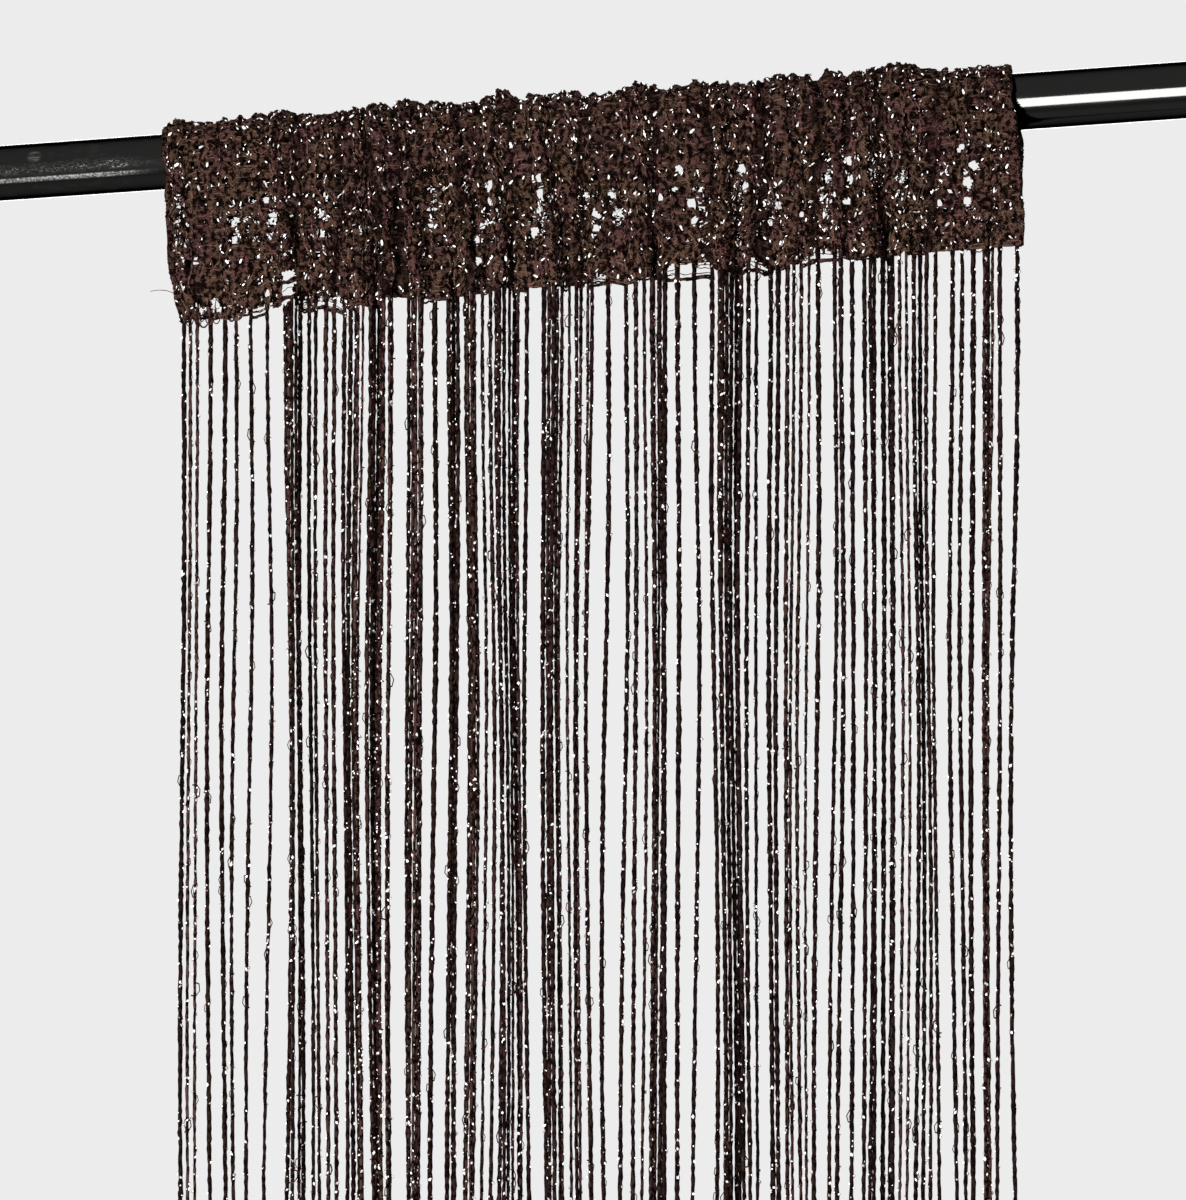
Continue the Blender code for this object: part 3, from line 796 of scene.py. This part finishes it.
def grown(name, source, tree, **values):
    """The plain mesh that a tree makes of a source object, as a new object in its place."""
    step = source.modifiers.new("make", "NODES")
    step.node_group = tree
    sockets = {s.name: s.identifier for s in tree.interface.items_tree if s.in_out == "INPUT"}
    for label, value in values.items():
        step[sockets[label.replace("_", " ")]] = value
    ready = source.evaluated_get(bpy.context.evaluated_depsgraph_get())
    mesh = bpy.data.meshes.new_from_object(ready)
    mesh.name = name
    bpy.data.objects.remove(source, do_unlink=True)
    made = bpy.data.objects.new(name, mesh)
    scene.collection.objects.link(made)
    return made


nodes, given = new_tree(
    "spun yarn",
    (
        ("Radius", "Float", 0.5 * MM),
        ("Unevenness", "Float", 0.2),
        ("Wobble", "Float", 0.1 * MM),
        ("Sides", "Int", 3),
        ("Seed", "Int", 1),
        ("Material", "Material", None),
    ),
)
paths = nodes.add("GeometryNodeMeshToCurve", None, {"Mesh": given})
sideways = random_vector(nodes, given, (-1, -1, -1), (1, 1, 1))
shift = nodes.add(
    "ShaderNodeVectorMath", {"operation": "SCALE"}, {0: sideways, "Scale": given.other("Wobble")}
)
paths = nodes.add("GeometryNodeSetPosition", None, {"Geometry": paths, "Offset": shift})
swell = nodes.add(
    "FunctionNodeRandomValue",
    {"data_type": "FLOAT"},
    {2: -1, 3: 1, "Seed": given.other("Seed") + 7},
)
thick = carried(nodes, "thickness") * (1 + swell * given.other("Unevenness"))
section = nodes.add(
    "GeometryNodeCurvePrimitiveCircle", None, {"Resolution": given.other("Sides"), "Radius": 1.0}
)
girth = given.other("Radius") * thick
tube = nodes.add(
    "GeometryNodeCurveToMesh",
    None,
    {"Curve": paths, "Profile Curve": section, "Scale": girth, "Fill Caps": True},
)
tube = nodes.add("GeometryNodeSetShadeSmooth", None, {"Geometry": tube, "Shade Smooth": True})
spun = finish_tree(nodes, tube, given)


def strands(name, paths, thicknesses=None, shades=None):
    """A mesh of loose edges, one row for each path, with how thick and how light each point is."""
    points, edges, thick, shade = [], [], [], []
    for k, path in enumerate(paths):
        start = len(points)
        points.extend(path)
        edges.extend((start + i, start + i + 1) for i in range(len(path) - 1))
        thick.extend(np.broadcast_to(1.0 if thicknesses is None else thicknesses[k], len(path)))
        shade.extend(np.broadcast_to(1.0 if shades is None else shades[k], len(path)))
    made = mesh_object(name, points, edges=edges)
    for label, values in (("thickness", thick), ("shade", shade)):
        field = made.data.attributes.new(label, "FLOAT", "POINT")
        field.data.foreach_set("value", np.float32(values))
    return made


def yarns(name, paths, thicknesses, shades, look, **sizes):
    """A piece that is yarn along each path."""
    source = strands(name + " paths", paths, thicknesses, shades)
    return grown(name, source, spun, Material=look, **sizes)


def on_knit(u, v, *fields):
    """The values of fields over the knit at distances along it and round it."""
    i = np.clip(u / along_knit[1], 0, columns - 1e-6)
    j = np.clip(np.interp(v, over, np.arange(len(over))), 0, len(over) - 1 - 1e-6)
    i0, j0 = i.astype(int), j.astype(int)
    values = []
    for field in fields:
        fi, fj = ((i - i0)[:, None], (j - j0)[:, None]) if field.ndim == 3 else (i - i0, j - j0)
        low_side = field[i0, j0] * (1 - fi) + field[i0 + 1, j0] * fi
        high_side = field[i0, j0 + 1] * (1 - fi) + field[i0 + 1, j0 + 1] * fi
        values.append(low_side * (1 - fj) + high_side * fj)
    return values


def whole_runs(path, gone):
    """The parts of a path that are left, as slices. Gone is true for the points that are missing."""
    cuts = np.flatnonzero(np.diff(gone.astype(int))) + 1
    ends = [0, *cuts, len(gone)]
    return [slice(a, b) for a, b in zip(ends, ends[1:]) if not gone[a] and b - a > 1]


def lost(point):
    """Where the knit has come loose, in the ladder and along the frayed hem."""
    x, z = point[:, 0], point[:, 2]
    return in_ladder(point) | (z < edge_height(x) + frayed_by(x))


KNOB, KNOB_WIDTH, KNOB_SPREAD = 0.9, 1.9 * MM, 3.2 * MM  # the height in mm, at most


def knob(v):
    """How far a yarn stands up, in mm: in one round lump near the crest of the knit."""
    middle = loop / 2 + chance.normal(0, KNOB_SPREAD)
    return KNOB * chance.random() ** 1.5 * bell(v - middle, KNOB_WIDTH)


def pushed_aside(path):
    """A chain that goes past each opening on one side, on the front and on the back."""
    for o in OPENINGS:
        for half in np.array_split(path, 2):
            x, z = seen_through(half)
            up = np.clip((z / MM - o.z) / (o.height / 2 + 1), -1, 1)
            room = (o.width / 2 + 0.2) * np.sqrt(1 - up * up) * MM
            apart = x - o.x * MM
            inside = abs(apart) < room
            side = -1 if apart[inside].sum() < 0 else 1
            half[:, 0] += np.where(inside, side * room - apart, 0)
    return path


STITCH, HALF_CHAIN = 3.4 * MM, 0.62 * MM  # from one chain stitch to the next, and to its sides
YARN_ENDS = 0.4 * MM  # how far from the hem the yarns end
chain_paths, chain_sizes, chain_shades = [], [], []
for k, u in enumerate(chain_at):
    for strand, sign in enumerate((1, -1)):
        v = np.arange(YARN_ENDS, loop - YARN_ENDS, STITCH / 2)
        zigzag = np.where(np.arange(len(v)) % 2, sign, -sign)
        u_here = u + zigzag * HALF_CHAIN + 0.3 * MM * np.sin(v / (4.1 * MM) + k)
        u_here = u_here + chance.normal(0, 0.12 * MM, len(v))
        point, away, light = on_knit(np.clip(u_here, 0, along_knit[-1]), v, relief, out, shade)
        lump = knob(v)
        path = pushed_aside(point + away * (0.3 + 0.15 * strand + lump[:, None]) * MM)
        for run in whole_runs(path, in_ladder(path)):
            length = run.stop - run.start
            chain_paths.append(path[run])
            chain_sizes.append(chance.uniform(0.75, 1.25, length) * (1 + 0.6 * lump[run]))
            chain_shades.append(light[run] * chance.uniform(0.6, 1.15, length))
chains = yarns(
    "heading_chains", chain_paths, chain_sizes, chain_shades, knit_look,
    Radius=0.50 * MM, Unevenness=0.22, Wobble=0.16 * MM, Sides=3, Seed=3,
)

# An inlaid yarn has a point on each chain and two between, and passes over or under every hole
INLAY_APART, INLAY_SPARE = 1.95 * MM, 0.25 * MM
BETWEEN = np.array([0, 0.3, 0.7])
OPENING_SPARE = 0.9  # mm that the yarns keep clear of an opening on the back
inlay_paths, inlay_sizes, inlay_shades = [], [], []
inlay_steps = chain_at[:-1, None] + gap_widths[:, None] * BETWEEN
inlay_u = np.append(inlay_steps.ravel(), chain_at[-1])
inlay_gap = np.clip(np.arange(len(inlay_u)) // len(BETWEEN), 0, len(gaps) - 1)
between_chains = np.arange(len(inlay_u)) % len(BETWEEN) > 0
for k, v in enumerate(np.arange(0.5 * MM, loop - YARN_ENDS, INLAY_APART)):
    on_back = v > loop / 2
    (here,) = on_knit(inlay_u, np.full(len(inlay_u), v), relief)
    slack = 1 + 1.8 * thinness(here)  # thin knit lets its yarns wander
    v_here = v + (
        0.55 * MM * np.sin(inlay_u / (3.1 * MM) + 2 * k)
        + slack * chance.normal(0, 0.38 * MM, len(inlay_u))
    )
    course = np.clip((v_here / COURSE).astype(int), 0, len(courses) - 1)
    hole_middle = hole_v[inlay_gap, course]
    room = half_v[inlay_gap, course] + INLAY_SPARE
    from_hole = v_here - hole_middle
    aside = hole_middle + np.where(from_hole < 0, -1, 1) * room
    v_here = np.where(between_chains & (abs(from_hole) < room), aside, v_here)
    u_here = np.clip(inlay_u + chance.normal(0, 0.25 * MM, len(inlay_u)), 0, along_knit[-1])
    v_here = np.clip(v_here, 0.2 * MM, loop - 0.2 * MM)
    point, away, light = on_knit(u_here, v_here, relief, out, shade)
    path = point + away * chance.uniform(-0.45, 0.45, len(inlay_u))[:, None] * MM
    how_thin = thinness(path)
    dropped = (how_thin > 0.45) & on_back & (k % 2 > 0)
    missing = lost(path) | dropped | opened(path, OPENING_SPARE if on_back else 0.0)
    for run in whole_runs(path, missing):
        length = run.stop - run.start
        inlay_paths.append(path[run])
        inlay_sizes.append(chance.uniform(0.7, 1.25, length) * (1 - 0.62 * how_thin[run]))
        inlay_shades.append(light[run] * chance.uniform(0.6, 1.15, length))
inlays = yarns(
    "heading_inlays", inlay_paths, inlay_sizes, inlay_shades, knit_look,
    Radius=0.54 * MM, Unevenness=0.3, Wobble=0.2 * MM, Sides=3, Seed=8,
)
for made in (chains, inlays):
    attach(made, "root")

# --- Strings ------------------------------------------------------------------------------------
# Each string is a chain of stitches in the same yarn, uneven and a little hairy. They hang from the
# lower edge of the knit, closer together where it is folded, and drift a little from the vertical.

STRING_RADIUS = 1.08 * MM
STRING_ENDS, END_SPREAD = -1990 * MM, 3 * MM
INTO_KNIT = 1.5 * MM  # how far over the knit's edge a string starts
# Sways that neighbours share: their size, how far they go along the knit and how far down
SWAYS = ((1.5 * MM, 95 * MM, 900 * MM), (0.4 * MM, 34 * MM, 600 * MM))
SWAY_DEPTH = 0.6  # of the same to the front and back
DRAWN_IN = 0.028  # how much narrower the fringe is with each metre down
LOOSE_FROM, LOOSE_TO = 65 * MM, 270 * MM  # the sways grow between these depths under the rod
STRAY, STRAY_SHARE = 1.7 * MM, 0.25  # each string's own sway: at most, and of the room beside it
STRAY_WAVES = (700 * MM, 900 * MM)
CLOSE_UP = 500 * MM  # down to here the strings have every stitch
FINE, COARSE = 2.3 * MM, 40 * MM  # the steps down to there, and below
STRING_DARK_AND_SHADED = (0.0014, 0.0005, 0.0004)
STRING_TINTS = (0.046, 0.0215, 0.0185), (0.048, 0.0200, 0.0200), (0.044, 0.0245, 0.0180)

# Strings that hang nearly in line along the slant lie against each other
TOUCHING, DRAWN_SHARE = 2.6 * MM, 0.33
in_line = string_roots[:, 0] + SLANT[0] * string_roots[:, 1]
order = np.argsort(in_line)
drawn = np.zeros(STRINGS)
for a, b in zip(order, order[1:]):
    apart = in_line[b] - in_line[a]
    if apart < TOUCHING:
        drawn[a] += DRAWN_SHARE * apart
        drawn[b] -= DRAWN_SHARE * apart

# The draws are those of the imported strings, in the same order
draws = random.Random(11)
string_paths, string_sizes, string_shades = [], [], []
for k, root in enumerate(string_roots):
    nearest = np.sort(np.linalg.norm(string_roots - root, axis=1))[1]
    stray_x, stray_y = draws.random(), draws.random()
    end = STRING_ENDS + draws.uniform(-END_SPREAD, END_SPREAD)
    draws.uniform(0, 2 * math.pi)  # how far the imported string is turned, which isn't needed here
    top = edge_height(root[0]) + INTO_KNIT + frayed_by(root[0])
    z = np.concatenate(
        [np.arange(top, -CLOSE_UP, -FINE), np.arange(-CLOSE_UP, end, -COARSE), [end]]
    )
    loose = ramp(-z, LOOSE_FROM, LOOSE_TO)
    narrower = 1 + DRAWN_IN * (z - EDGE_RIGHT)
    x = MIDDLE + (root[0] - MIDDLE) * narrower + loose * drawn[k]
    y = np.full(len(z), root[1])
    for size, width, height in SWAYS:
        turn = 2 * math.pi * (root[0] / width + z / height)
        x = x + loose * size * np.sin(turn)
        y = y + loose * size * SWAY_DEPTH * np.cos(turn)
    stray = loose * min(STRAY, STRAY_SHARE * (nearest - 2 * STRING_RADIUS))
    x = x + stray * np.sin(2 * math.pi * (z / STRAY_WAVES[0] + stray_x))
    y = y + stray * np.sin(2 * math.pi * (z / STRAY_WAVES[1] + stray_y))
    drift = 0.07 * MM * (np.sin(z / (7.3 * MM) + 7 * k) + np.sin(z / (3.1 * MM) + 3 * k))
    string_paths.append(np.column_stack([x + drift, y - 0.6 * drift, z]))
    # Its stitches are thick and thin by turns. Crowded strings are drawn thinner and painted lighter,
    # as if lit, and lone strings are painted dark, as painted shade
    stitches = np.where(np.arange(len(z)) % 2, 1.09, 0.91)
    crowded = float(ramp(4.6 * MM - nearest, 0, 1.6 * MM))
    girth = stitches * chance.uniform(0.92, 1.08) * (1 + 0.08 * np.sin(z / (11 * MM) + k))
    string_sizes.append(girth * (1.01 - 0.28 * crowded) * (1 - 0.08 * ramp(-z, 0.1, 0.5)))
    string_shades.append(np.full(len(z), (0.26 + 0.74 * crowded) * chance.uniform(0.7, 1.0)))

string_look = yarn_look("brown_string", STRING_DARK_AND_SHADED, *STRING_TINTS)

THIRDS = (0, 38, 75, STRINGS)
for name, first, last in zip(("left", "middle", "right"), THIRDS, THIRDS[1:]):
    made = yarns(
        "strings_" + name,
        string_paths[first:last], string_sizes[first:last], string_shades[first:last], string_look,
        Radius=STRING_RADIUS, Unevenness=0.15, Wobble=0.14 * MM, Sides=4, Seed=20 + first,
    )
    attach(made, "root")
    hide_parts("strings")

# --- Loose courses at the hem -------------------------------------------------------------------
# Where the hem is frayed its lowest inlaid yarns hang as thin loops from string to string. They also
# cross the ladder, and hang in small brown loops at the left end, where one loose end stands out.

NARROW_GAP, LEFT_OUT = 2.4 * MM, 0.35  # no yarn shows in narrow gaps, nor in this share of others
BEFORE_STRINGS = 0.6 * MM
# The yarns that cross the ladder: their height in mm, and how thick they are
LADDER_RUNGS = ((-57.9, 3.0), (-58.9, 2.4), (-61.8, 0.9), (-65.2, 2.6), (-66.2, 2.4))
END_LOOPS, END_FROM, END_TO = 26, -187, -160  # the brown loops, and between which places in mm
loop_paths, loop_sizes, loop_shades = [], [], []


def hang(points, size, shade):
    """One more loose yarn."""
    loop_paths.append(np.column_stack(points))
    loop_sizes.append(size)
    loop_shades.append(shade)


t = np.linspace(0, 1, 6)
for a, b in zip(string_roots, string_roots[1:]):
    middle_x = (a[0] + b[0]) / 2 / MM
    frayed = next((f for f in FRAYED if f.first < middle_x < f.last), None)
    if frayed is None and (np.linalg.norm(b - a) < NARROW_GAP or chance.random() < LEFT_OUT):
        continue
    x, y = a[:, None] * (1 - t) + b[:, None] * t
    thick, thin_ones = [chance.uniform(-0.9, 1.0)], []  # heights in mm over the lower edge
    if frayed:
        thick = chance.uniform(-0.7, 0.9, 4) - frayed.hang
        thin_ones = chance.uniform(-frayed.hang, frayed.gone, 3)
    for i, height in enumerate((*thick, *thin_ones)):
        sag = chance.uniform(-0.4, 0.8) * np.sin(math.pi * t) + chance.normal(0, 0.25, len(t))
        z = edge_height(x) + (height - sag) * MM
        girth = chance.uniform(1.5, 2.6) if i < len(thick) else 0.9
        hang([x, y - BEFORE_STRINGS, z], girth, chance.uniform(0.2, 0.6))
t = np.linspace(-1.2, 1.2, 7)
for height, girth in LADDER_RUNGS:
    z = (height + 0.9 * t + 0.5 * np.sin(3 * t + height)) * MM
    hang([LADDER_X + t * LADDER_WIDTH / 2, (t * t - 1.2) * MM, z], girth, 0.4)
turn = np.linspace(-0.2, math.pi + 0.2, 8)
for _ in range(END_LOOPS):
    x, wide = chance.uniform(END_FROM, END_TO) * MM, chance.uniform(1.4, 3.0) * MM
    y = np.interp(x, string_roots[:, 0], string_roots[:, 1]) - 1.0 * MM
    top = edge_height(x) + chance.uniform(0.5, 3.5) * MM
    z = top - chance.uniform(2.0, 5.0) * MM * np.sin(turn)
    hang([x + wide * np.cos(turn), np.full(len(turn), y), z], chance.uniform(1.0, 1.7), 1.0)
t = np.linspace(0, 1, 9)
loose_end = -190 - 15 * t, 0 * t, -62 + 1.5 * t + 2.6 * np.sin(2.4 * t)
hang([MM * place for place in loose_end], 0.7, 0.5)
loops = yarns(
    "hem_loops", loop_paths, loop_sizes, loop_shades, knit_look,
    Radius=0.26 * MM, Unevenness=0.25, Wobble=0.12 * MM, Sides=3, Seed=31,
)
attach(loops, "root")

# --- Metallic thread ----------------------------------------------------------------------------
# A bright flat thread runs with the yarn. Only its glints are drawn: short near-white beads, painted
# highlights, at the holes of the knit and where it is thin, and here and there along each string.
# Fewer are kept where the knit is painted in shade.

# The beads' colours, mixed at random: a dull grey, and a near white that paints the glint
DULL, GLINT_WHITE = (0.26, 0.22, 0.20, 1), (0.95, 0.94, 0.92, 1)
HOLE_GLINTS = 0.60  # the share of holes with one
THIN_GLINTS, STRAY_GLINTS = 3800, 3400  # places tried where the knit is thin, and anywhere
OVER_KNIT, OUT_OF_STRING = 0.62 * MM, 0.92  # the second as a share of the string's radius
GLINTS_CLOSE = 440 * MM  # down to here a string's glints are close together
CLOSE, FAR = 4.8 * MM, 55 * MM  # from one to the next on a string, above and below that


def scattered(nodes, given, piece, low, high, scale):
    """A tree that puts a scaled piece on each point, turned by between two sets of angles."""
    angles = random_vector(nodes, given, low, high)
    rotation = nodes.add("FunctionNodeEulerToRotation", None, {"Euler": angles})
    inputs = {"Points": given, "Instance": piece, "Rotation": rotation, "Scale": scale}
    return finish_tree(nodes, nodes.add("GeometryNodeInstanceOnPoints", None, inputs), given)


nodes, given = new_tree(
    "glints",
    (("Sides", "Int", 5), ("Rings", "Int", 4), ("Seed", "Int", 1), ("Material", "Material", None)),
)
bead = nodes.add(
    "GeometryNodeMeshUVSphere",
    None,
    {"Segments": given.other("Sides"), "Rings": given.other("Rings"), "Radius": 0.5},
)
bead = nodes.add("GeometryNodeSetShadeSmooth", None, {"Geometry": bead, "Shade Smooth": True})
length, width = carried(nodes, "thickness"), carried(nodes, "shade")
spread = nodes.add("ShaderNodeCombineXYZ", None, {0: width, 1: width * 0.6, 2: length})
glinting = scattered(nodes, given, bead, (-0.3, -1.2, -0.5), (0.3, 1.2, 0.5), spread)

tinsel = Finish("silver_thread")
glow = tinsel.noise(520, (1, 1, 1), 1, 0.5)
tinsel.surface(
    Base_Color=tinsel.blend(glow.between(0.38, 0.56), DULL, GLINT_WHITE),
    Metallic=0.2,
    Roughness=0.25 + 0.2 * glow,
)


def glint_places(points, lengths, least, most):
    """Loose points that carry each glint's length, and its width between two shares of that."""
    widths = lengths * chance.uniform(least, most, len(lengths))
    return strands("glint places", [[p] for p in points], lengths, widths)


# On the knit: at many of its holes, more of them where the front is thin, and some anywhere
shown = chance.random(hole_u.shape) < HOLE_GLINTS
many_u = chance.uniform(0, along_knit[-1], THIN_GLINTS)
many_v = chance.uniform(0, loop / 2, THIN_GLINTS)
(place,) = on_knit(many_u, many_v, relief)
in_thin = thinness(place) > chance.uniform(0.3, 1.6, THIN_GLINTS)
stray_u = chance.uniform(0, along_knit[-1], STRAY_GLINTS)
stray_v = chance.uniform(0, loop, STRAY_GLINTS)
u = np.concatenate([hole_u[shown], many_u[in_thin], stray_u])
v = np.concatenate([hole_v[shown], many_v[in_thin], stray_v])
u = np.clip(u + chance.normal(0, 0.6 * MM, len(u)), 0, along_knit[-1])
point, away, light = on_knit(u, np.clip(v, 0, loop), relief, out, shade)
glint_sizes = MM * np.concatenate(
    [
        1.2 + 2.2 * chance.random(shown.sum()) ** 1.7,
        0.8 + 2.1 * chance.random(in_thin.sum()) ** 1.5,
        0.5 + 1.7 * chance.random(STRAY_GLINTS) ** 1.3,
    ]
)
# Fewer glints are kept where the knit is painted in shade
seen = ~lost(point) & ~opened(point) & (light > chance.uniform(0.0, 0.35, len(light)))
knit_glints = grown(
    "heading_glints",
    glint_places((point + away * OVER_KNIT)[seen], glint_sizes[seen], 0.24, 0.52),
    glinting, Sides=4, Rings=3, Seed=5, Material=tinsel.material,
)

# On the strings: round each one, all along it
places, sizes = [], []
for path in string_paths:
    where = distances(path)
    near_top = np.cumsum(chance.exponential(CLOSE, 160))
    below = np.cumsum(chance.exponential(FAR, 60)) + GLINTS_CLOSE
    wanted = np.concatenate([near_top[near_top < GLINTS_CLOSE], below])
    wanted = wanted[wanted < where[-1]]
    at = at_distances(path, where, wanted)
    angle = chance.uniform(0, 2 * math.pi, len(at))
    at[:, 0] += OUT_OF_STRING * STRING_RADIUS * np.cos(angle)
    at[:, 1] += OUT_OF_STRING * STRING_RADIUS * np.sin(angle)
    places.append(at)
    sizes.append((0.8 + 1.7 * chance.random(len(at)) ** 1.3) * MM)
string_glints = grown(
    "string_glints",
    glint_places(np.concatenate(places), np.concatenate(sizes), 0.45, 0.75),
    glinting, Sides=4, Rings=2, Seed=6, Material=tinsel.material,
)
for made, slot in ((knit_glints, "heading"), (string_glints, "strings")):
    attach(made, "root")

# --- Loose hairs --------------------------------------------------------------------------------
# Thin filaments of the yarn stand out from the strings as small open loops. They are single fibres
# that have worked out of the spun yarn, which still holds them at both ends.

HAIRS_CLOSE = 5 * MM, 440 * MM  # along a string, where most of its hairs are
MANY, FEW = 20, 3  # on each string, there and below
HAIR_SWEEP = math.radians(230)

nodes, given = new_tree(
    "hairs",
    (("Hair radius", "Float", 0.12 * MM), ("Seed", "Int", 1), ("Material", "Material", None)),
)
arc = nodes.add(
    "GeometryNodeCurveArc",
    None,
    {"Resolution": 5, "Radius": 1.0, "Start Angle": -HAIR_SWEEP / 2, "Sweep Angle": HAIR_SWEEP},
)
# The arc has a radius of 1 and is scaled to about 1 mm, so the hair's own radius is in mm here
round_hair = nodes.add(
    "GeometryNodeCurvePrimitiveCircle",
    None,
    {"Resolution": 3, "Radius": given.other("Hair radius") * 1000},
)
hair = nodes.add(
    "GeometryNodeCurveToMesh", None, {"Curve": arc, "Profile Curve": round_hair, "Fill Caps": True}
)
hair = nodes.add("GeometryNodeTransform", None, {"Geometry": hair, "Rotation": (math.pi / 2, 0, 0)})
length = carried(nodes, "thickness")
spread = nodes.add("ShaderNodeCombineXYZ", None, {0: length, 1: length, 2: length * 1.5})
hairy = scattered(nodes, given, hair, (-0.3, -0.3, 0), (0.3, 0.3, 2 * math.pi), spread)

places, sizes = [], []
for path in string_paths:
    where = distances(path)
    near_top = chance.uniform(*HAIRS_CLOSE, MANY)
    wanted = np.concatenate([near_top, chance.uniform(HAIRS_CLOSE[1], where[-1], FEW)])
    places.append(at_distances(path, where, wanted))
    sizes.append((0.9 + 1.3 * chance.random(len(wanted)) ** 1.5) * MM)
hairs = grown(
    "string_hairs",
    strands("hair places", [[p] for p in np.concatenate(places)], np.concatenate(sizes)),
    hairy, Hair_radius=0.14 * MM, Seed=9, Material=string_look,
)
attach(hairs, "root")
